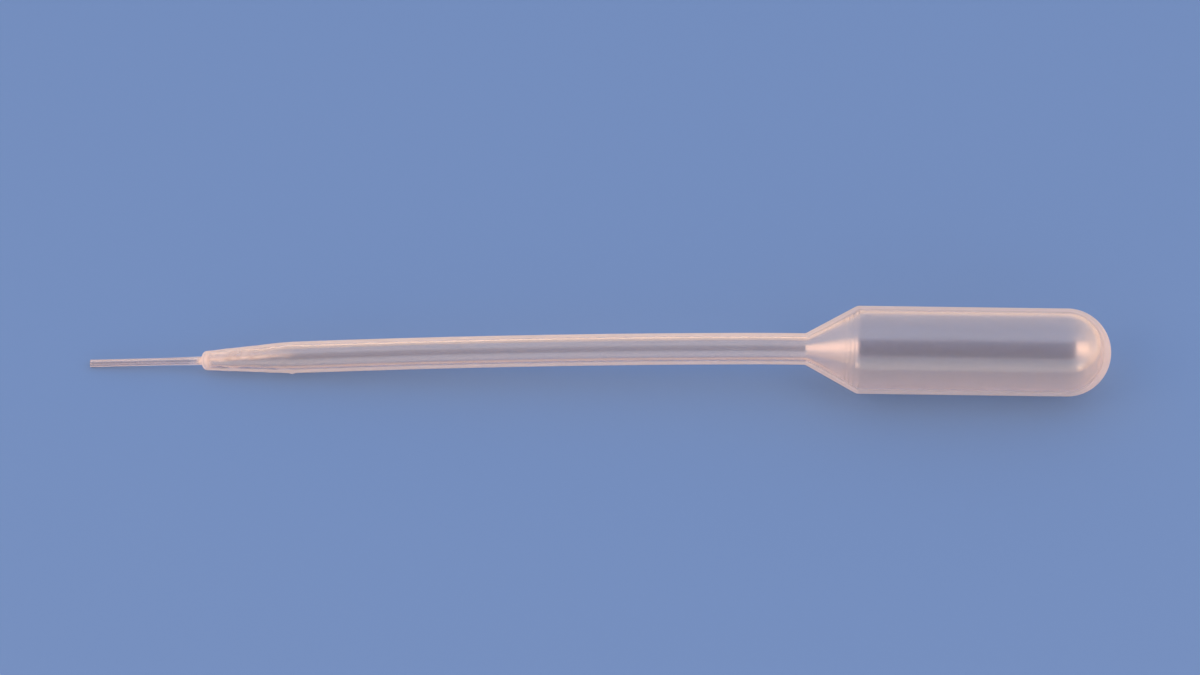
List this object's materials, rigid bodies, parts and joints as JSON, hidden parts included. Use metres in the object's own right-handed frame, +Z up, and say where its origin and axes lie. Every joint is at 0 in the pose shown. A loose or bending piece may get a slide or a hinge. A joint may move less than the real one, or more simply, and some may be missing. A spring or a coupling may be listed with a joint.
{
  "type": "dropper pipette",
  "caption": "One-piece milky plastic dropper pipette: a round-ended squeeze bulb on a cone, a long slightly bowed hollow stem, a tapered nozzle and a hair-thin capillary tip.",
  "frame": {"origin": "on the floor, under the middle of the length", "axes": "+X along the pipette towards the round end of its bulb, +Z up as it lies at rest, with the bow of the stem upright in the XZ plane"},
  "size_m": [0.15, 0.0128, 0.0129],
  "materials": {
    "milky_plastic": "satin, translucent milky low-density polyethylene"
  },
  "bodies": {
    "root": {"pipette": "milky_plastic"}
  },
  "joints": []
}
